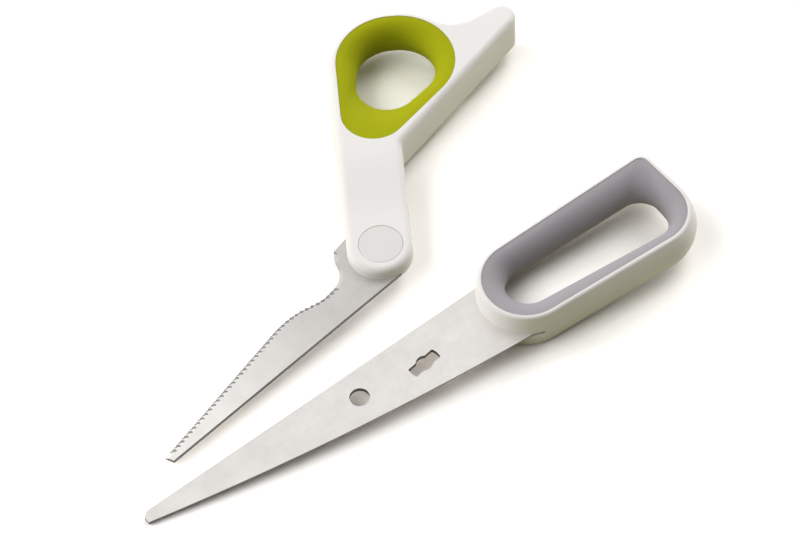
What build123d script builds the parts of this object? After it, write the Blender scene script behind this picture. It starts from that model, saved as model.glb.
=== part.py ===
"""Take-apart kitchen shears: two handled blades that hook together on a T-headed stud.

Both halves are drawn in one working frame. The stud axis is Z, the plane where the two blades
slide on each other is z = 0, the tips point to -X and the thumb half is drawn closed. At the end
the thumb half is turned open and laid beside the finger half, and both are set on the floor.
"""
import os
from math import atan, cos, degrees, radians, sin, sqrt

from build123d import *

os.makedirs("parts", exist_ok=True)

# Sizes that both halves share, in millimetres
handle_height = 19.0
handle_rim = 2.2
rim_land = 0.2
loop_rim_round = 1.2
web_height = 6.0
grip_recess = 0.3
grip_liner = 2.2
lip_land = 0.5
overrun = 2.0
half_height = handle_height / 2
grip_half_height = half_height - grip_recess
web_half_height = web_height / 2
lip_step_count = 5
wall_step_count = 3

# Stud, slot and the fits between them
shank_radius = 2.6
neck_radius = 2.95
lug_length = 13.0
lug_width = 4.2
lug_thickness = 1.3
lug_gap = 0.15
lug_edge_break = 0.2
eye_clearance = 0.35
slot_clearance = 0.2
slot_angle = 7.5
release_opening = 90.0
shown_opening = 15.5
head_radius = 4.6
head_height = 1.5
head_rim = 0.5

# Cap and washer over the stud
cap_radius = 8.75
cap_clearance = 0.1
cap_thickness = 1.6
cap_edge_break = 0.25
turning_clearance = 0.3
skirt_wall = 1.4
skirt_inset = 1.7
washer_thickness = 0.8
washer_inset = 0.1
floor_thickness = 1.0

# Finger loop, seen from above: a wide front arc, a round tail and a tighter tail corner
pivot_to_loop = 31.0
loop_length = 94.5
loop_front_radius = 19.3
loop_front_rise = 1.2
loop_tail_radius = 18.4
loop_tail_drop = 3.2
loop_corner_radius = 5.8
loop_corner_rise = 14.4
loop_front_bulge = 0.2
loop_tail_bulge = 2.0
loop_corner_bulge = 0.6
hole_front_setback = 12.1
hole_front_radius = 8.95
hole_front_rise = 1.8
hole_tail_setback = 8.4
hole_tail_radius = 10.5
hole_tail_drop = 2.6
hole_corner_inset = 0.5
hole_corner_lift = 0.9
loop_end = pivot_to_loop + loop_length

# Each loop circle is (x, y, radius); the grip and the web follow the same circles
loop_circles = [
    (pivot_to_loop + loop_front_radius, loop_front_rise, loop_front_radius),
    (loop_end - loop_tail_radius, -loop_tail_drop, loop_tail_radius),
    (loop_end - loop_corner_radius, loop_corner_rise, loop_corner_radius),
]
hole_end = loop_end - hole_tail_setback
loop_hole_circles = [
    (pivot_to_loop + hole_front_setback + hole_front_radius, hole_front_rise, hole_front_radius),
    (hole_end - hole_corner_inset - hole_tail_radius, -hole_tail_drop, hole_tail_radius),
    (hole_end - hole_tail_radius, hole_corner_lift - hole_tail_drop, hole_tail_radius),
]
loop_bulges = [loop_front_bulge, loop_tail_bulge, loop_corner_bulge]
loop_belly_circles = [
    (x, y, radius + bulge) for (x, y, radius), bulge in zip(loop_circles, loop_bulges)
]

# Finger blade
finger_thickness = 2.0
finger_reach = 120.0
finger_spine_rise = 14.7
finger_tip_rise = 13.3
finger_point_rise = 8.9
finger_edge_bulge = 2.9
finger_heel_setback = 10.0
finger_heel_margin = 3.0
finger_nose_length = 2.2
finger_nose_step = 1.7
finger_relief_height = 1.5
finger_relief_inset = 0.6
finger_tang_length = 20.0
tang_wall = 1.2
tang_rim_gap = 0.3
herb_hole_radius = 3.9
herb_hole_distance = 28.2
herb_hole_rise = 3.3
slot_mouth_length = 4.0
slot_mouth_depth = 1.2

# Thumb blade
thumb_thickness = 1.9
thumb_reach = 119.9
thumb_edge_rise = 11.3
thumb_point_rise = 9.3
thumb_nose_rise = 5.4
thumb_nose_length = 1.6
thumb_heel_drop = 12.4
thumb_heel_reach = 3.3
spur_rise = 15.2
spur_reach = 10.8
spur_root = 3.0
notch_width = 18.7
bevel_height = 1.5
bevel_width = 2.0
groove_pitch = 2.37
groove_radius = 0.5
groove_depth = 0.35
groove_length = 2.1
groove_slant = 37.0
groove_end_margin = 2.5

# Thumb arm and ring, in axes that run along the arm from the stud
arm_angle = 42.5
arm_half_width = 13.0
arm_shift = 0.45
arm_top_height = 7.3
arm_flat_reach = 14.0
arm_rise_setback = 3.6
arm_step_setback = 9.8
arm_step_slant = 3.0
tang_half_width = 8.0
tang_setback = 10.1
tang_disc_wall = 1.5
ring_rim = 2.8
ring_rim_round = 2.6
ring_radius = 26.7
ring_reach = 89.5
ring_spread = 1.6
ring_low_radius = 16.5
ring_low_reach = 63.6
ring_hole_radius = 15.9
ring_hole_lead = 0.5
ring_hole_shift = 0.4
ring_hole_spread = 0.7
ring_hole_low_radius = 13.4
ring_hole_stretch = 6.5
ring_hole_low_rise = 3.3
horn_width = 12.6
horn_length = 24.0
horn_root_radius = 1.5
horn_fillet = 15.5
arm_fillet = 3.6
arm_left = arm_half_width + arm_shift
arm_right = arm_half_width - arm_shift
ring_drop = ring_radius - arm_left
ring_circles = [
    (ring_reach, -ring_drop, ring_radius),
    (ring_reach, -ring_drop - ring_spread, ring_radius),
    (ring_low_reach, arm_left - ring_low_radius, ring_low_radius),
]
ring_hole_reach = ring_reach + ring_hole_lead
ring_hole_drop = ring_drop + ring_hole_shift
ring_hole_circles = [
    (ring_hole_reach, -ring_hole_drop, ring_hole_radius),
    (ring_hole_reach, -ring_hole_drop - ring_hole_spread, ring_hole_radius),
    (ring_hole_reach - ring_hole_stretch, ring_hole_low_rise - ring_hole_drop, ring_hole_low_radius),
]

tang_reach = ring_hole_reach - ring_hole_stretch - ring_hole_low_radius - tang_setback

# Where the thumb half lies beside the finger half
thumb_apart_along = 17.4
thumb_apart_across = 50.0
thumb_apart_lift = 0.15

# Planes used more than once
arm_plane = Plane.XY.rotated((0, 0, arm_angle))
arm_run = Vector(cos(radians(arm_angle)), sin(radians(arm_angle)), 0)
arm_side_plane = Plane(origin=(0, 0, 0), x_dir=arm_run, z_dir=arm_run.cross(Vector(0, 0, 1)))


def grown(circles, by):
    """The same circles with every radius made larger by a length."""
    return [(x, y, radius + by) for x, y, radius in circles]


def between(inner, outer, share):
    """Circles part of the way from the inner set to the outer set."""
    return [
        tuple(a + (b - a) * share for a, b in zip(small, large))
        for small, large in zip(inner, outer)
    ]


def hull_of(circles, plane):
    """The face inside a tight band pulled round the circles, drawn on a plane."""
    with BuildSketch(plane) as band:
        for x, y, radius in circles:
            with Locations((x, y)):
                Circle(radius)
        make_hull()
    return band.sketch


def wall_heights():
    """Heights through a handle's wall, from its underside to its top, for its bowed outside."""
    steps = range(-wall_step_count, wall_step_count + 1)
    return [half_height * step / wall_step_count for step in steps]


def funnel_sections(hole, lip, base_plane):
    """Faces through the rounded throat of a grip, from its underside to its top."""
    sections = []
    for step in range(-lip_step_count, lip_step_count + 1):
        swing = radians(90 * step / lip_step_count)
        height = grip_half_height * sin(swing)
        sections.append(hull_of(between(hole, lip, 1 - cos(swing)), base_plane.offset(height)))
    return sections


# Outlines of the finger loop at the heights where they are used
loop_floor = Plane.XY.offset(-half_height)
loop_web_floor = Plane.XY.offset(-web_half_height)
loop_top_circles = grown(loop_circles, loop_rim_round + rim_land - handle_rim)
loop_wall_sections = [
    hull_of(
        between(loop_belly_circles, loop_top_circles, (height / half_height) ** 2),
        Plane.XY.offset(height),
    )
    for height in wall_heights()
]
loop_pocket_low = hull_of(grown(loop_circles, -handle_rim), loop_floor)
loop_pocket_high = hull_of(grown(loop_circles, -handle_rim), Plane.XY.offset(web_half_height))
loop_web_hole = hull_of(grown(loop_hole_circles, grip_liner), loop_web_floor)

# Finger blade: straight back, gently bowed cutting edge, and a forked tang that lies in the web
finger_heel = pivot_to_loop + finger_heel_setback
front_x, front_y, front_radius = loop_circles[0]
heel_y = front_y - sqrt(front_radius**2 - (front_x - finger_heel) ** 2)
edge_mid_x = (finger_heel - finger_reach) / 2
edge_mid_y = (heel_y + finger_point_rise) / 2 - finger_edge_bulge
tang_end = pivot_to_loop + finger_tang_length
with BuildPart() as finger_blade:
    with BuildSketch(Plane.XY.offset(-finger_thickness)):
        with BuildLine():
            Polyline(
                (-finger_reach, finger_point_rise),
                (-finger_reach, finger_tip_rise - finger_nose_step),
                (-finger_reach + finger_nose_length, finger_tip_rise),
                (finger_heel - finger_heel_margin, finger_spine_rise),
                (finger_heel, heel_y),
            )
            ThreePointArc(
                (finger_heel, heel_y), (edge_mid_x, edge_mid_y), (-finger_reach, finger_point_rise)
            )
        make_face()
    extrude(amount=finger_thickness)
    point_edges = finger_blade.faces().sort_by(Axis.Z)[0].edges().filter_by(GeomType.CIRCLE)
    chamfer(
        point_edges,
        length=finger_relief_height,
        length2=finger_relief_inset,
        reference=finger_blade.faces().filter_by(GeomType.CYLINDER)[0],
    )
    # fork of the tang, on both sides of the finger hole
    with BuildSketch(Plane.XY.offset(-finger_thickness)) as fork:
        add(hull_of(grown(loop_circles, -handle_rim - tang_rim_gap), Plane.XY))
        add(
            hull_of(grown(loop_hole_circles, grip_liner + tang_wall), Plane.XY),
            mode=Mode.SUBTRACT,
        )
        with Locations(((pivot_to_loop + tang_end) / 2, 0)):
            Rectangle(finger_tang_length, loop_length, mode=Mode.INTERSECT)
    extrude(amount=finger_thickness)
    # herb hole and the keyed slot for the stud
    with Locations((-herb_hole_distance, herb_hole_rise, 0)):
        Hole(herb_hole_radius)
    with BuildSketch():
        Circle(lug_length / 2 + slot_clearance)
        Rectangle(
            lug_length + 2 * overrun,
            lug_width + 2 * slot_clearance,
            rotation=slot_angle,
            mode=Mode.INTERSECT,
        )
        Circle(neck_radius + eye_clearance)
    extrude(amount=-finger_thickness, mode=Mode.SUBTRACT)

# Finger handle: a tall white wall round a thin web that carries the soft grip
with BuildPart() as finger_handle:
    loft(sections=loop_wall_sections)
    fillet(finger_handle.edges().group_by(Axis.Z)[-1], radius=loop_rim_round)
    fillet(finger_handle.edges().group_by(Axis.Z)[0], radius=loop_rim_round)
    extrude(loop_pocket_high, amount=half_height, mode=Mode.SUBTRACT)
    extrude(loop_pocket_low, amount=half_height - web_half_height, mode=Mode.SUBTRACT)
    extrude(loop_web_hole, amount=web_height, mode=Mode.SUBTRACT)
    add(finger_blade.part, mode=Mode.SUBTRACT)
    # open end of the blade slot in the side wall, just behind the heel of the cutting edge
    with Locations((finger_heel, heel_y - slot_mouth_depth, -finger_thickness / 2)):
        Box(
            2 * slot_mouth_length,
            3 * slot_mouth_depth,
            finger_thickness,
            mode=Mode.SUBTRACT,
        )

# Finger grip: soft ring with a rounded throat, clipped over the web
with BuildPart() as finger_grip:
    extrude(
        hull_of(grown(loop_circles, -handle_rim), Plane.XY.offset(-grip_half_height)),
        amount=2 * grip_half_height,
    )
    loft(
        sections=funnel_sections(
            loop_hole_circles, grown(loop_circles, -handle_rim - lip_land), Plane.XY
        ),
        mode=Mode.SUBTRACT,
    )
    with BuildSketch(loop_web_floor):
        add(hull_of(loop_circles, Plane.XY))
        add(hull_of(grown(loop_hole_circles, grip_liner), Plane.XY), mode=Mode.SUBTRACT)
    extrude(amount=web_height, mode=Mode.SUBTRACT)

# Thumb blade: straight back, serrated edge that dips into the bone notch, spur, and tang
notch_shares = [
    (0.14, 1.16),
    (0.305, 0.735),
    (0.524, 0.485),
    (0.77, 0.435),
    (1.0, 0.465),
]
edge_run_shares = [
    (0.05, 0.565),
    (0.094, 0.72),
    (0.14, 0.86),
    (0.194, 0.955),
    (0.258, 1.0),
]
groove_start_share = 0.21
notch_end = spur_reach + notch_width
edge_run = [
    (-spur_reach - along * notch_width, up * thumb_edge_rise) for along, up in notch_shares
]
edge_run += [
    (-notch_end - along * (thumb_reach - notch_end), up * thumb_edge_rise)
    for along, up in edge_run_shares
]
with BuildLine() as thumb_edge:
    thumb_curve = Spline((-spur_reach, spur_rise), *edge_run)
    thumb_straight = Line(thumb_curve @ 1, (-thumb_reach, thumb_point_rise))

# The grooves all run one way, whatever way the edge turns, and follow the slope of the bevel
groove_side = sin(radians(groove_slant))
groove_in = -cos(radians(groove_slant))
groove_run = Vector(groove_side, groove_in, -groove_in * bevel_height / bevel_width)
groove_up = Vector(0, bevel_height, bevel_width).normalized()
groove_lift = groove_up * (groove_radius - groove_depth)
edge_land = thumb_thickness - bevel_height
curve_end = thumb_curve @ 1
groove_length_along = thumb_curve.length + thumb_straight.length - groove_end_margin
groove_first = groove_start_share * thumb_reach
groove_spots = []
groove_at = 0.0
while groove_at < groove_length_along:
    if groove_at < thumb_curve.length:
        spot = thumb_curve.position_at(groove_at / thumb_curve.length)
    else:
        spot = thumb_straight.position_at(
            (groove_at - thumb_curve.length) / thumb_straight.length
        )
    if spot.X < -groove_first:
        groove_spots.append(spot)
    groove_at += groove_pitch

with BuildPart() as thumb_blade:
    with BuildSketch():
        with BuildLine():
            add(thumb_edge.line)
            Polyline(
                (-thumb_reach, thumb_point_rise),
                (-thumb_reach + thumb_nose_length / 2, thumb_nose_rise),
                (-thumb_heel_reach, -thumb_heel_drop),
                (0, 0),
                (spur_root, spur_rise),
                (-spur_reach, spur_rise),
            )
        make_face()
    extrude(amount=thumb_thickness)
    # bevel: everything beyond the edge is cut away along the slope of the bevel
    with BuildSketch(Plane.XY.offset(edge_land)):
        with BuildLine():
            add(thumb_edge.line)
            Polyline(
                (-thumb_reach, thumb_point_rise),
                (-thumb_reach - overrun, thumb_point_rise),
                (-thumb_reach - overrun, spur_rise + overrun),
                (-spur_reach, spur_rise + overrun),
                (-spur_reach, spur_rise),
            )
        make_face()
    extrude(
        amount=sqrt(bevel_width**2 + bevel_height**2) + overrun,
        dir=(0, -bevel_width, bevel_height),
        mode=Mode.SUBTRACT,
    )
    for spot in groove_spots:
        groove_foot = Vector(spot.X, spot.Y, edge_land) + groove_lift - groove_run * groove_depth
        with Locations(Plane(origin=groove_foot, z_dir=groove_run)):
            Cylinder(
                groove_radius,
                groove_length,
                align=(Align.CENTER, Align.CENTER, Align.MIN),
                mode=Mode.SUBTRACT,
            )
    # disc round the stud and the tang along the arm, both inside the moulding
    with BuildSketch(arm_plane):
        Circle(arm_half_width - tang_disc_wall)
        with Locations((tang_reach / 2, 0)):
            Rectangle(tang_reach, 2 * tang_half_width)
    extrude(amount=thumb_thickness)
    Hole(shank_radius)

# Thumb handle outline: arm, ring and horn in one closed shape with eased inner corners
arm_cos = cos(radians(arm_angle))
arm_sin = sin(radians(arm_angle))


def from_arm(along, across):
    """A point given along and across the arm, in the working frame."""
    return (along * arm_cos - across * arm_sin, along * arm_sin + across * arm_cos)


ring_x, ring_y = from_arm(ring_reach, -ring_drop - ring_spread)
ring_floor_y = ring_y - ring_radius
horn_radius = horn_width / 2
horn_x = ring_x + ring_radius + horn_length - horn_radius
horn_y = ring_floor_y + horn_radius
crook_reach = (ring_floor_y + arm_right * arm_cos) / arm_sin
arm_rise_reach = crook_reach - arm_rise_setback
arm_step_reach = crook_reach - arm_step_setback
with BuildSketch() as thumb_outline:
    with BuildLine():
        Polyline(
            from_arm(0, arm_left),
            from_arm(0, -arm_right),
            from_arm(crook_reach, -arm_right),
            (horn_x, ring_floor_y),
            (horn_x, horn_y),
            (ring_x, ring_y),
            from_arm(ring_reach, arm_left),
            close=True,
        )
    make_face()
    with Locations(from_arm(0, arm_shift)):
        Circle(arm_half_width)
    with Locations(from_arm(ring_reach, -ring_drop)):
        Circle(ring_radius)
    with Locations((ring_x, ring_y)):
        Circle(ring_radius)
    with BuildLine():
        Polyline(
            from_arm(ring_reach, -ring_drop),
            from_arm(ring_reach + ring_radius, -ring_drop),
            from_arm(ring_reach + ring_radius, -ring_drop - ring_spread),
            from_arm(ring_reach, -ring_drop - ring_spread),
            close=True,
        )
    make_face()
    add(hull_of([(ring_x, ring_y, horn_root_radius), (horn_x, horn_y, horn_radius)], Plane.XY))
    horn_corner_guess = (ring_x + ring_radius, horn_y + horn_width)
    horn_corner = thumb_outline.vertices().sort_by_distance(horn_corner_guess)[0]
    fillet(horn_corner, radius=min(horn_fillet, horn_length))
    crook_corner = thumb_outline.vertices().sort_by_distance(from_arm(crook_reach, -arm_right))[0]
    fillet(crook_corner, radius=arm_fillet)

# One face of the thumb web: inside the handle, outside the throat of the grip
ring_floor = arm_plane.offset(-half_height)
ring_web_floor = arm_plane.offset(-web_half_height)
ring_pocket_low = hull_of(grown(ring_circles, -ring_rim), ring_floor)
ring_pocket_high = hull_of(grown(ring_circles, -ring_rim), arm_plane.offset(web_half_height))
ring_web_hole = hull_of(grown(ring_hole_circles, grip_liner), ring_web_floor)
arm_side = arm_left + overrun
side_floor = arm_side_plane.offset(-arm_side)
bore_floor = thumb_thickness + floor_thickness
bore_radius = cap_radius - skirt_inset + turning_clearance
with BuildPart() as thumb_handle:
    with BuildSketch(Plane.XY.offset(-half_height)):
        add(thumb_outline.sketch)
    extrude(amount=handle_height)
    # thin arm near the stud: open below the blade plane, lower on top
    with BuildSketch(side_floor):
        with BuildLine():
            Polyline(
                (-arm_side, 0),
                (arm_step_reach, 0),
                (arm_step_reach + arm_step_slant, -half_height - overrun),
                (-arm_side, -half_height - overrun),
                close=True,
            )
        make_face()
    extrude(amount=2 * arm_side, mode=Mode.SUBTRACT)
    with BuildSketch(side_floor):
        with BuildLine():
            Line((-arm_side, arm_top_height), (arm_flat_reach, arm_top_height))
            Spline(
                (arm_flat_reach, arm_top_height),
                (arm_rise_reach, half_height),
                tangents=((1, 0), (1, 0)),
            )
            Polyline(
                (arm_rise_reach, half_height),
                (arm_rise_reach, half_height + overrun),
                (-arm_side, half_height + overrun),
                (-arm_side, arm_top_height),
            )
        make_face()
    extrude(amount=2 * arm_side, mode=Mode.SUBTRACT)
    # rounded upper and lower rims
    upper_rim = thumb_handle.edges().filter_by(
        lambda e: e.center().Z > arm_top_height - overrun / 4
        and not (e.geom_type == GeomType.LINE and abs(e.tangent_at(0.5).dot(arm_run)) < 0.01)
    )
    fillet(upper_rim, radius=ring_rim_round)
    fillet(thumb_handle.edges().group_by(Axis.Z)[0], radius=ring_rim_round)
    # pockets for the grip, bores for the cap and washer, bed for the blade
    extrude(ring_pocket_high, amount=half_height, mode=Mode.SUBTRACT)
    extrude(ring_pocket_low, amount=half_height - web_half_height, mode=Mode.SUBTRACT)
    extrude(ring_web_hole, amount=web_height, mode=Mode.SUBTRACT)
    with BuildSketch(Plane.XY.offset(arm_top_height - cap_thickness)):
        Circle(cap_radius + cap_clearance)
    extrude(amount=cap_thickness + overrun, mode=Mode.SUBTRACT)
    with BuildSketch(Plane.XY.offset(bore_floor)):
        Circle(bore_radius)
    extrude(amount=arm_top_height - bore_floor, mode=Mode.SUBTRACT)
    add(thumb_blade.part, mode=Mode.SUBTRACT)
    with BuildSketch():
        Circle(shank_radius)
    extrude(amount=bore_floor, mode=Mode.SUBTRACT)

# Thumb grip: soft ring like the finger grip, wide and flat toward the arm
with BuildPart() as thumb_grip:
    extrude(
        hull_of(grown(ring_circles, -ring_rim), arm_plane.offset(-grip_half_height)),
        amount=2 * grip_half_height,
    )
    loft(
        sections=funnel_sections(
            ring_hole_circles, grown(ring_circles, -ring_rim - lip_land), arm_plane
        ),
        mode=Mode.SUBTRACT,
    )
    with BuildSketch(ring_web_floor):
        add(hull_of(ring_circles, Plane.XY))
        add(hull_of(grown(ring_hole_circles, grip_liner), Plane.XY), mode=Mode.SUBTRACT)
    extrude(amount=web_height, mode=Mode.SUBTRACT)

# Stud: rivet head, shank through the thumb half, neck for the slot eye and the two lugs
lug_top = -finger_thickness - lug_gap
head_floor = bore_floor + washer_thickness
head_top = head_floor + head_height
with BuildPart() as pivot_stud:
    with BuildSketch(Plane.XZ):
        with BuildLine():
            Polyline(
                (0, head_top),
                (0, lug_top),
                (neck_radius, lug_top),
                (neck_radius, 0),
                (shank_radius, 0),
                (shank_radius, head_floor),
                (head_radius, head_floor),
                (head_radius, head_top),
                close=True,
            )
        make_face()
    revolve(axis=Axis.Z)
    with BuildSketch(Plane.XY.offset(lug_top)):
        Circle(lug_length / 2)
        Rectangle(
            lug_length + 2 * overrun,
            lug_width,
            rotation=slot_angle - release_opening,
            mode=Mode.INTERSECT,
        )
    extrude(amount=-lug_thickness)
    chamfer(pivot_stud.edges().group_by(Axis.Z)[0], length=lug_edge_break)
    fillet(pivot_stud.edges().group_by(Axis.Z)[-1], radius=head_height - head_rim)

# Washer under the rivet head
with BuildPart() as pivot_washer:
    with BuildSketch(Plane.XY.offset(bore_floor)):
        Circle(cap_radius - skirt_inset - washer_inset)
        Circle(shank_radius + turning_clearance, mode=Mode.SUBTRACT)
    extrude(amount=washer_thickness)

# Cap: flush disc with a skirt that stands on the washer
with BuildPart() as pivot_cap:
    with BuildSketch(Plane.XY.offset(arm_top_height - cap_thickness)):
        Circle(cap_radius)
    extrude(amount=cap_thickness)
    chamfer(pivot_cap.edges().group_by(Axis.Z)[-1], length=cap_edge_break)
    with BuildSketch(Plane.XY.offset(head_floor)):
        Circle(cap_radius - skirt_inset)
        Circle(cap_radius - skirt_inset - skirt_wall, mode=Mode.SUBTRACT)
    extrude(amount=arm_top_height - cap_thickness - head_floor)

# Open the thumb half, lay it beside the finger half, and lean both on the blade tip and the loop
finger_half = [finger_blade, finger_handle, finger_grip]
thumb_half = [thumb_blade, thumb_handle, thumb_grip, pivot_stud, pivot_washer, pivot_cap]
lean = degrees(atan((half_height - finger_thickness) / (finger_reach + pivot_to_loop)))
finger_place = Rot(0, -lean, 0)
thumb_apart = Pos(thumb_apart_along, thumb_apart_across, thumb_apart_lift)
thumb_place = finger_place * thumb_apart * Rot(0, 0, shown_opening)
for piece in finger_half:
    piece.part.move(finger_place)
for piece in thumb_half:
    piece.part.move(thumb_place)

# Put the middle of the pair over the origin, with the floor at z = 0
boxes = [piece.part.bounding_box() for piece in finger_half + thumb_half]
middle_x = (min(box.min.X for box in boxes) + max(box.max.X for box in boxes)) / 2
middle_y = (min(box.min.Y for box in boxes) + max(box.max.Y for box in boxes)) / 2
to_floor = Pos(-middle_x, -middle_y, -min(box.min.Z for box in boxes))
for piece in finger_half + thumb_half:
    piece.part.move(to_floor)

finger_blade.part.label = "finger_blade"
finger_handle.part.label = "finger_handle"
finger_grip.part.label = "finger_grip"
thumb_blade.part.label = "thumb_blade"
thumb_handle.part.label = "thumb_handle"
thumb_grip.part.label = "thumb_grip"
pivot_stud.part.label = "pivot_stud"
pivot_washer.part.label = "pivot_washer"
pivot_cap.part.label = "pivot_cap"
export_step(finger_blade.part, "parts/finger_blade.step")
export_step(finger_handle.part, "parts/finger_handle.step")
export_step(finger_grip.part, "parts/finger_grip.step")
export_step(thumb_blade.part, "parts/thumb_blade.step")
export_step(thumb_handle.part, "parts/thumb_handle.step")
export_step(thumb_grip.part, "parts/thumb_grip.step")
export_step(pivot_stud.part, "parts/pivot_stud.step")
export_step(pivot_washer.part, "parts/pivot_washer.step")
export_step(pivot_cap.part, "parts/pivot_cap.step")
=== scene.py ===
from math import atan, cos, radians, sin

import bpy
from mathutils import Matrix, Vector


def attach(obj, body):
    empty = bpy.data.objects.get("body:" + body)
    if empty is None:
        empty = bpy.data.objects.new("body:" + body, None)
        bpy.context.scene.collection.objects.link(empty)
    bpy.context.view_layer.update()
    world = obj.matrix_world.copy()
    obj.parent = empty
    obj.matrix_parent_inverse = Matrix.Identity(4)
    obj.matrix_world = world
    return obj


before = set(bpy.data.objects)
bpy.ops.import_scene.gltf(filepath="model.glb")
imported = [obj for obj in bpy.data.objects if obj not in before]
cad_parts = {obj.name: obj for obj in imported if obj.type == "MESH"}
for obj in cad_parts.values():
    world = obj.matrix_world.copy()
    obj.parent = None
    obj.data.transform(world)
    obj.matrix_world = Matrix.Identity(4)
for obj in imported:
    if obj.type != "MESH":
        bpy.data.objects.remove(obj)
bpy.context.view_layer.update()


# Finger blade: the plain blade, stamped from two-millimetre stainless sheet and ground to a satin
# finish along its length. Its tang is moulded into the finger loop. The sheet shows a faint cloud
# of lighter and darker patches under the grinding marks, and its cut sides are painted darker, a
# painted shade.
class Signal:
    """One output of a shader node. Sums and products of signals add their own Math nodes."""

    def __init__(self, tree, socket):
        self.tree = tree
        self.socket = socket

    def math(self, operation, first, second=0.0):
        node = self.tree.nodes.new("ShaderNodeMath")
        node.operation = operation
        for slot, value in zip(node.inputs, (first, second)):
            if isinstance(value, Signal):
                self.tree.links.new(value.socket, slot)
            else:
                slot.default_value = value
        return Signal(self.tree, node.outputs[0])

    def __add__(self, other):
        return self.math("ADD", self, other)

    def __radd__(self, other):
        return self.math("ADD", other, self)

    def __sub__(self, other):
        return self.math("SUBTRACT", self, other)

    def __rsub__(self, other):
        return self.math("SUBTRACT", other, self)

    def __mul__(self, other):
        return self.math("MULTIPLY", self, other)

    def __rmul__(self, other):
        return self.math("MULTIPLY", other, self)

    def __truediv__(self, other):
        return self.math("DIVIDE", self, other)

    def __rtruediv__(self, other):
        return self.math("DIVIDE", other, self)

    def __pow__(self, other):
        return self.math("POWER", self, other)

    def __rpow__(self, other):
        return self.math("POWER", other, self)


class Graph:
    """A node tree with one way to add a node: its settings, its inputs and the output wanted."""

    def __init__(self, tree):
        self.tree = tree
        self.tree.nodes.clear()

    def node(self, kind, settings=None, values=None, out=0):
        node = self.tree.nodes.new(kind)
        for name, setting in (settings or {}).items():
            setattr(node, name, setting)
        for slot, value in (values or {}).items():
            if isinstance(value, Signal):
                self.tree.links.new(value.socket, node.inputs[slot])
            else:
                node.inputs[slot].default_value = value
        return Signal(self.tree, node.outputs[out])


class Finish(Graph):
    """The shading of a material or of the world: close() sets the result."""

    def __init__(self, owner):
        owner.use_nodes = True
        super().__init__(owner.node_tree)
        self.owner = owner
        self.place = self.node("ShaderNodeTexCoord", out="Object")

    def stretched(self, turn, scale):
        """The piece's own coordinates, turned in the table plane and stretched along one way."""
        return self.node(
            "ShaderNodeMapping",
            {"vector_type": "TEXTURE"},
            {"Vector": self.place, "Rotation": (0.0, 0.0, turn), "Scale": scale},
        )

    def noise(self, vector, scale, detail, roughness=0.5):
        return self.node(
            "ShaderNodeTexNoise",
            None,
            {"Vector": vector, "Scale": scale, "Detail": detail, "Roughness": roughness},
        )

    def blend(self, factor, low, high):
        """A colour from low to high."""
        colours = [c if isinstance(c, Signal) else (*c, 1.0) for c in (low, high)]
        return self.node(
            "ShaderNodeMix",
            {"data_type": "RGBA"},
            {0: factor, 6: colours[0], 7: colours[1]},
            out=2,
        )

    def remap(self, value, given, wanted=(0.0, 1.0)):
        """A number moved from the span given to the span wanted, and held within it."""
        return self.node(
            "ShaderNodeMapRange",
            {"clamp": True},
            {0: value, 1: given[0], 2: given[1], 3: wanted[0], 4: wanted[1]},
        )

    def bump(self, height, distance, strength):
        return self.node(
            "ShaderNodeBump",
            None,
            {"Height": height, "Distance": distance, "Strength": strength},
        )

    def surface(self, colour, roughness, normal, **constants):
        values = {"Base Color": colour, "Roughness": roughness, "Normal": normal}
        values.update({name.replace("_", " "): value for name, value in constants.items()})
        return self.close(self.node("ShaderNodeBsdfPrincipled", None, values))

    def close(self, shader, output_kind="ShaderNodeOutputMaterial"):
        output = self.tree.nodes.new(output_kind)
        self.tree.links.new(shader.socket, output.inputs["Surface"])
        return self.owner

    def seen(self):
        """One where the picture, metal or glass shows this directly, nought for light it gives."""
        outputs = self.node("ShaderNodeLightPath").socket.node.outputs
        rays = ("Is Camera Ray", "Is Glossy Ray", "Is Transmission Ray")
        camera, glossy, through = (Signal(self.tree, outputs[name]) for name in rays)
        return camera + glossy + through


noise_span = (0.3, 0.7)
grind_stretch = (0.02, 0.0005, 0.02)
patch_span = (0.36, 0.64)
painted_side_shade_span = (0.35, 0.6)
painted_side_shade_tone = (0.15, 0.146, 0.138)
painted_reflection_span = (-0.02, -0.08)


def ground_steel(name, grind_turn, tones, painted_reflection_tip_tones=None):
    """Satin stainless sheet in two tones, its cut sides painted darker (painted shade), with a
    painted reflection from a darker heel to a lighter tip if tip tones are given.
    """
    steel = Finish(bpy.data.materials.new(name))
    grind = steel.noise(steel.stretched(grind_turn, grind_stretch), scale=1.0, detail=4.0)
    cloud = steel.noise(steel.place, scale=95.0, detail=7.0, roughness=0.68)
    # Painted reflection: with tip tones, the tones go from a darker heel to a lighter tip along the
    # piece's X.
    if painted_reflection_tip_tones:
        lengthwise = steel.node("ShaderNodeSeparateXYZ", None, {0: steel.place}, out="X")
        painted_reflection_share = steel.remap(lengthwise, painted_reflection_span)
        tones = [steel.blend(painted_reflection_share, heel, tip) for heel, tip in zip(tones, painted_reflection_tip_tones)]
    # Painted shade: faces that stand upright, the cut sides, are turned darker.
    way = steel.node("ShaderNodeTexCoord", out="Normal")
    level = steel.node("ShaderNodeSeparateXYZ", None, {0: way}, out="Z")
    painted_side_shade = steel.remap(level.math("ABSOLUTE", level), painted_side_shade_span, (1.0, 0.0))
    patches = steel.remap(grind * 0.2 + cloud * 0.8, patch_span)
    return steel.surface(
        steel.blend(painted_side_shade, steel.blend(patches, *tones), painted_side_shade_tone),
        steel.remap(cloud, noise_span, (0.46, 0.54)),
        steel.bump(grind, distance=0.00004, strength=0.5),
        Metallic=1.0,
    )


def dress(node_name, material):
    """Gives a CAD node its finished material."""
    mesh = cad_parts[node_name].data
    mesh.materials.clear()
    mesh.materials.append(material)


plain_tones = ((0.75, 0.726, 0.70), (0.85, 0.824, 0.796))
dress("finger_blade", ground_steel("satin_blade_steel", 0.0, plain_tones))


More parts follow.
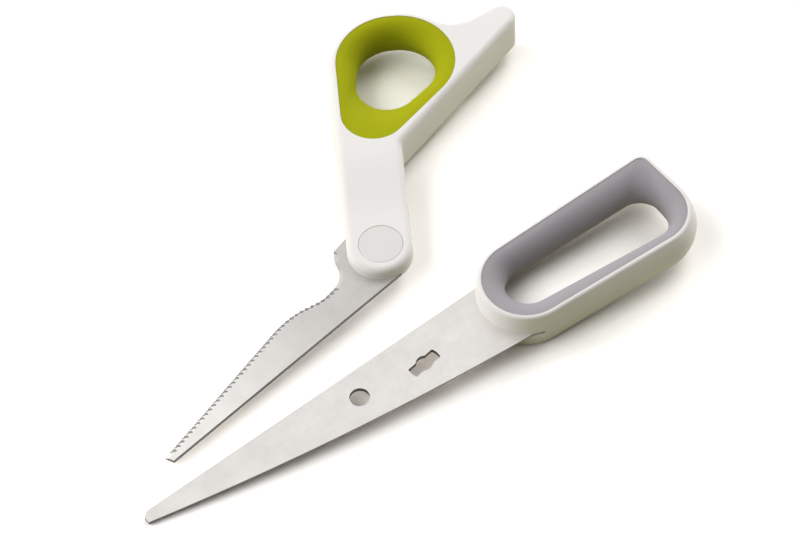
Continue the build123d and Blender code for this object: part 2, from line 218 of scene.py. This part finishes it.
# Finger handle: a tall four-finger loop injection-moulded in white plastic round the blade's
# forked tang. The skin is a fine spark-eroded grain with a soft shine.
def moulded_plastic(name, wear_scale, tones, roughness):
    """Grained white plastic in two tones, with its roughness between two values."""
    plastic = Finish(bpy.data.materials.new(name))
    skin = plastic.noise(plastic.place, scale=2600.0, detail=2.0)
    wear = plastic.noise(plastic.place, wear_scale, detail=3.0)
    return plastic.surface(
        plastic.blend(wear, *tones),
        plastic.remap(wear, noise_span, roughness),
        plastic.bump(skin, distance=0.00003, strength=0.35),
    )


white_tones = ((0.805, 0.780, 0.757), (0.835, 0.812, 0.79))
white_plastic = moulded_plastic("white_moulded_plastic", 30.0, white_tones, (0.42, 0.50))
dress("finger_handle", white_plastic)


# Finger grip: a soft grey ring clipped over the handle's inner web, with a rounded throat for the
# fingers. Thermoplastic rubber with a dry, finely grained skin.
def soft_rubber(name, tones, roughness):
    """Dry, grained rubber in two tones, with its roughness between two values."""
    rubber = Finish(bpy.data.materials.new(name))
    grain = rubber.noise(rubber.place, scale=3200.0, detail=2.0)
    bloom = rubber.noise(rubber.place, scale=45.0, detail=3.0)
    return rubber.surface(
        rubber.blend(bloom, *tones),
        rubber.remap(bloom, noise_span, roughness),
        rubber.bump(grain, distance=0.00004, strength=0.4),
        Specular_IOR_Level=0.3,
    )


grey_tones = ((0.360, 0.340, 0.360), (0.394, 0.374, 0.394))
dress("finger_grip", soft_rubber("grey_soft_rubber", grey_tones, (0.66, 0.76)))

# Thumb blade: the serrated blade with the bone notch, cut from stainless sheet and ground in the
# same way as the plain one. The teeth are ground across its bevel as short slanted grooves, and
# its colour is painted darker at the heel and lighter at the tip, a painted reflection.
thumb_grind_turn = 0.27
# The heel and tip tones are a painted reflection, darker at the heel and lighter at the tip.
painted_reflection_heel_tones = ((0.595, 0.575, 0.552), (0.675, 0.653, 0.63))
painted_reflection_tip_tones = ((0.84, 0.82, 0.79), (0.92, 0.90, 0.87))
toothed_steel = ground_steel("toothed_blade_steel", thumb_grind_turn, painted_reflection_heel_tones, painted_reflection_tip_tones)
dress("thumb_blade", toothed_steel)

# Tooth marks: the wheel that cuts the teeth leaves each groove rough, and runs out in a short
# scallop on the flat above it. Slivers of dark rough steel stand for both, one in each groove and
# a far thinner one on the flat at its end; their darkness is partly the rough steel's own, partly
# painted shade.
groove_slant = radians(37.0)
bevel_slope = 0.75
bevel_up = Vector((0.0, 0.6, 0.8))
lean = atan(7.5 / 151.0)
blade_turn = radians(15.5)
blade_laid = Matrix.Rotation(-lean, 3, "Y") @ Matrix.Rotation(blade_turn, 3, "Z")
groove_run = blade_laid @ Vector(
    (sin(groove_slant), -cos(groove_slant), bevel_slope * cos(groove_slant))
).normalized()
groove_up = blade_laid @ bevel_up
groove_frame = Matrix((groove_run, groove_up.cross(groove_run), groove_up))
flat_up = blade_laid @ Vector((0.0, 0.0, 1.0))
flat_run = blade_laid @ Vector((sin(groove_slant), -cos(groove_slant), 0.0))
flat_frame = Matrix((flat_run, flat_up.cross(flat_run), flat_up))

# The grooves are found in the blade's mesh as the faces that curve about their common direction.
most_along_run = 0.03
least_up = 0.25
most_up = 0.995
blade_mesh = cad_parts["thumb_blade"].data
curved = [
    groove_frame @ blade_mesh.vertices[index].co
    for face in blade_mesh.polygons
    if abs(face.normal.dot(groove_run)) < most_along_run
    and least_up < face.normal.dot(groove_up) < most_up
    for index in face.vertices
]
curved.sort(key=lambda spot: spot.y)
groove_gap = 0.00025
grooves = [[curved[0]]]
for spot in curved[1:]:
    if spot.y - grooves[-1][-1].y > groove_gap:
        grooves.append([])
    grooves[-1].append(spot)

fewest_spots = 20
mark_rise = 0.00017
mark_shift = 0.0003
run_out_shift = 0.00035
flat_level = max(vertex.co.dot(flat_up) for vertex in blade_mesh.vertices)
groove_spots = []
run_out_spots = []
for groove in grooves:
    if len(groove) < fewest_spots:
        continue
    runs, acrosses, ups = ([spot[axis] for spot in groove] for axis in range(3))
    across = (min(acrosses) + max(acrosses)) / 2
    floor_spot = Vector(((min(runs) + max(runs)) / 2 + mark_shift, across, min(ups) + mark_rise))
    end_spot = groove_frame.transposed() @ Vector((max(runs), across, max(ups)))
    end_spot += run_out_shift * flat_run
    groove_spots.append(groove_frame.transposed() @ floor_spot)
    run_out_spots.append(end_spot + (flat_level - end_spot.dot(flat_up)) * flat_up)

# The slivers' dark steel is partly the rough grinding's own colour, partly painted shade.
rough_steel_and_shade = Finish(bpy.data.materials.new("rough_tooth_steel_and_painted_shade"))
scratches = rough_steel_and_shade.noise(rough_steel_and_shade.place, scale=4200.0, detail=3.0)
rough_steel_and_painted_shade = rough_steel_and_shade.surface(
    rough_steel_and_shade.blend(scratches, (0.30, 0.298, 0.292), (0.42, 0.416, 0.41)),
    rough_steel_and_shade.remap(scratches, noise_span, (0.55, 0.75)),
    rough_steel_and_shade.bump(scratches, distance=0.00003, strength=0.5),
    Metallic=1.0,
)

# A sliver is a flattened rod with tapered ends, and each one differs a little in size.
spine_spots = 13
section_sides = 14
taper_power = 0.4
end_share = 0.002
marks_tree = bpy.data.node_groups.new("tooth_marks", "GeometryNodeTree")
marks_tree.interface.new_socket("Marks", in_out="OUTPUT", socket_type="NodeSocketGeometry")
marks_inputs = {
    "Spots": "NodeSocketGeometry",
    "Length": "NodeSocketFloat",
    "Width": "NodeSocketFloat",
    "Height": "NodeSocketFloat",
    "Turn": "NodeSocketVector",
    "Spread": "NodeSocketFloat",
    "Seed": "NodeSocketInt",
}
handles = {
    name: marks_tree.interface.new_socket(name, in_out="INPUT", socket_type=kind).identifier
    for name, kind in marks_inputs.items()
}
marks = Graph(marks_tree)
given_outputs = marks.node("NodeGroupInput").socket.node.outputs
given = {name: Signal(marks_tree, given_outputs[name]) for name in marks_inputs}
line_start = marks.node("ShaderNodeCombineXYZ", None, {"X": given["Length"] * -0.5})
line_end = marks.node("ShaderNodeCombineXYZ", None, {"X": given["Length"] * 0.5})
spine = marks.node("GeometryNodeCurvePrimitiveLine", None, {"Start": line_start, "End": line_end})
spine = marks.node("GeometryNodeResampleCurve", None, {"Curve": spine, "Count": spine_spots})
along = marks.node("GeometryNodeSplineParameter")
taper = (along * (1.0 - along) * 4.0 + end_share) ** taper_power
spine = marks.node("GeometryNodeSetCurveRadius", None, {"Curve": spine, "Radius": taper})
section = marks.node(
    "GeometryNodeCurvePrimitiveCircle",
    None,
    {"Resolution": section_sides, "Radius": given["Width"] * 0.5},
)
sliver = marks.node(
    "GeometryNodeCurveToMesh", None, {"Curve": spine, "Profile Curve": section, "Fill Caps": True}
)
flattening = marks.node(
    "ShaderNodeCombineXYZ", None, {"X": 1.0, "Y": 1.0, "Z": given["Height"] / given["Width"]}
)
sliver = marks.node("GeometryNodeTransform", None, {"Geometry": sliver, "Scale": flattening})
growth = marks.node(
    "FunctionNodeRandomValue",
    {"data_type": "FLOAT_VECTOR"},
    {0: 1.0 - given["Spread"], 1: given["Spread"] + 1.0, "Seed": given["Seed"]},
)
turned = marks.node("FunctionNodeEulerToRotation", None, {"Euler": given["Turn"]})
laid_marks = marks.node(
    "GeometryNodeInstanceOnPoints",
    None,
    {"Points": given["Spots"], "Instance": sliver, "Rotation": turned, "Scale": growth},
)
laid_marks = marks.node("GeometryNodeRealizeInstances", None, {"Geometry": laid_marks})
laid_marks = marks.node(
    "GeometryNodeSetMaterial", None, {"Geometry": laid_marks, "Material": rough_steel_and_painted_shade}
)
marks_out = marks_tree.nodes.new("NodeGroupOutput")
marks_tree.links.new(laid_marks.socket, marks_out.inputs["Marks"])

growth_spread = 0.08
growth_seed = 11


def lay_slivers(piece_name, spots, frame_turn, size):
    """A piece with one sliver at each spot, its length, width and height in size."""
    spots_mesh = bpy.data.meshes.new(piece_name + "_spots")
    spots_mesh.from_pydata(spots, [], [])
    piece = bpy.data.objects.new(piece_name, spots_mesh)
    bpy.context.scene.collection.objects.link(piece)
    laying = piece.modifiers.new("laying", "NODES")
    laying.node_group = marks_tree
    for input_name, measure in zip(("Length", "Width", "Height"), size):
        laying[handles[input_name]] = measure
    laying[handles["Turn"]] = tuple(frame_turn.transposed().to_euler())
    laying[handles["Spread"]] = growth_spread
    laying[handles["Seed"]] = growth_seed
    depsgraph = bpy.context.evaluated_depsgraph_get()
    sliver_mesh = bpy.data.meshes.new_from_object(
        piece.evaluated_get(depsgraph), depsgraph=depsgraph
    )
    piece.modifiers.remove(laying)
    piece.data = sliver_mesh
    sliver_mesh.shade_smooth()
    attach(piece, "thumb_half")


mark_size = (0.0023, 0.0011, 0.00038)
run_out_size = (0.0016, 0.0009, 0.00006)
lay_slivers("tooth_marks", groove_spots, groove_frame, mark_size)
lay_slivers("tooth_run_outs", run_out_spots, flat_frame, run_out_size)

# Thumb handle: the bent arm, ring and horn, one moulding in the same white plastic as the finger
# loop, with the serrated blade's tang held in its underside.
dress("thumb_handle", white_plastic)

# Thumb grip: the green soft ring, wide and flat toward the arm. It is moulded in the same rubber
# as the grey one, with a somewhat drier skin.
green_tones = ((0.345, 0.363, 0.004), (0.377, 0.396, 0.008))
dress("thumb_grip", soft_rubber("green_soft_rubber", green_tones, (0.72, 0.82)))

# Pivot: turned steel stud with its rivet head, the plastic washer under the head, and the white
# cap that snaps in flush over them. The cap is a shade darker than the arm round it.
dress("pivot_stud", toothed_steel)
dress("pivot_washer", white_plastic)
cap_tones = ((0.725, 0.702, 0.682), (0.755, 0.732, 0.712))
dress("pivot_cap", moulded_plastic("cap_moulded_plastic", 60.0, cap_tones, (0.46, 0.54)))

# Table: a plain white sheet that runs far past the picture. Near the shears it is seen as white
# where the light falls, darker in its shadow, and painted darker where something stands close
# over it, a painted contact shade. Farther out it goes over to plain white. The light that it
# gives back to the shears is that of a duller sheet.
table_half = 3.0
table_level = -0.0001
corners = [(-1, -1), (1, -1), (1, 1), (-1, 1)]
table_mesh = bpy.data.meshes.new("table")
table_mesh.from_pydata(
    [(table_half * x, table_half * y, table_level) for x, y in corners], [], [(0, 1, 2, 3)]
)
table = bpy.data.objects.new("table", table_mesh)
bpy.context.scene.collection.objects.link(table)
paper = Finish(bpy.data.materials.new("white_table"))
giving = paper.node("ShaderNodeBsdfDiffuse", None, {"Color": (0.53, 0.51, 0.27, 1.0)})
contact_reach = 0.012
# Painted contact shade: ambient occlusion darkens the table's seen colour close under the shears.
painted_shade_openness = paper.node(
    "ShaderNodeAmbientOcclusion", {"samples": 16}, {"Distance": contact_reach}, out="AO"
)
open_span = (0.1, 0.75)
pale_with_painted_contact_shade = paper.blend(
    paper.remap(painted_shade_openness, open_span), (0.70, 0.685, 0.65), (1.39, 1.355, 1.32)
)
near_shown = paper.node("ShaderNodeBsdfDiffuse", None, {"Color": pale_with_painted_contact_shade})
far_shown = paper.node("ShaderNodeEmission", None, {"Color": (1.0, 1.0, 1.0, 1.0), "Strength": 1.0})
reach = paper.node("ShaderNodeVectorMath", {"operation": "LENGTH"}, {0: paper.place}, out="Value")
near_to_far = (0.14, 0.32)
far_share = paper.remap(reach, near_to_far)
shown = paper.node("ShaderNodeMixShader", None, {0: far_share, 1: near_shown, 2: far_shown})
table_mesh.materials.append(
    paper.close(paper.node("ShaderNodeMixShader", None, {0: paper.seen(), 1: giving, 2: shown}))
)

# Studio: seven soft boxes in a ring, three above and four low down, the strongest low on the
# left. Metal and the picture show a plain white surround in their place, and the surround gives
# the shears only a faint warm light.
box_side = 0.9
boxes_aim = Vector((0.0, 0.0, 0.0))
boxes = {
    "high_right_box": ((1.04, 0.2, 1.264), 8.9),
    "high_left_box": ((-1.061, 0.0, 1.264), 9.4),
    "high_back_box": ((-0.75, 0.75, 1.264), 6.8),
    "low_right_box": ((1.569, 0.0, 0.51), 10.8),
    "low_right_back_box": ((1.11, 1.11, 0.51), 6.3),
    "low_left_back_box": ((-1.11, 1.11, 0.51), 16.0),
    "low_front_box": ((1.11, -1.11, 0.51), 1.6),
}
for box_name, (box_place, power) in boxes.items():
    lamp = bpy.data.lights.new(box_name, "AREA")
    lamp.shape = "SQUARE"
    lamp.size = box_side
    lamp.energy = power
    soft_box = bpy.data.objects.new(box_name, lamp)
    box_turn = (boxes_aim - Vector(box_place)).to_track_quat("-Z", "Y")
    soft_box.matrix_world = Matrix.Translation(box_place) @ box_turn.to_matrix().to_4x4()
    soft_box.visible_glossy = False
    bpy.context.scene.collection.objects.link(soft_box)
surround = bpy.data.worlds.new("surround")
tent = Finish(surround)
dim = tent.node(
    "ShaderNodeBackground", None, {"Color": (1.0, 0.97, 0.84, 1.0), "Strength": 0.01}
)
bright = tent.node("ShaderNodeBackground", None, {"Color": (1.0, 1.0, 1.0, 1.0), "Strength": 1.0})
tent.close(
    tent.node("ShaderNodeMixShader", None, {0: tent.seen(), 1: dim, 2: bright}),
    "ShaderNodeOutputWorld",
)
bpy.context.scene.world = surround
bpy.context.scene.view_settings.view_transform = "Standard"

# Camera: looks down at the pair from the side of the finger half, as in the photograph. Its place
# is worked out from the slot in the plain blade, which shows a little right of the middle and
# below it, both given as shares of the distance.
camera_right = Vector((0.7955, -0.6060, 0.0))
camera_forward = Vector((0.3562, 0.4676, -0.8090))
camera_up = camera_right.cross(camera_forward)
camera_distance = 0.842
slot_centre = Vector((-0.0061407, -0.0609894, 0.0079505))
slot_right = 0.01098
slot_below = 0.04343
camera_data = bpy.data.cameras.new("photo_camera")
camera_data.lens = 100.0
camera_data.sensor_width = 36.0
camera_data.clip_start = 0.01
camera = bpy.data.objects.new("photo_camera", camera_data)
bpy.context.scene.collection.objects.link(camera)
camera_place = slot_centre - camera_distance * (
    camera_forward + slot_right * camera_right - slot_below * camera_up
)
camera_turn = Matrix((camera_right, camera_up, -camera_forward)).transposed().to_4x4()
camera.matrix_world = Matrix.Translation(camera_place) @ camera_turn
bpy.context.scene.camera = camera
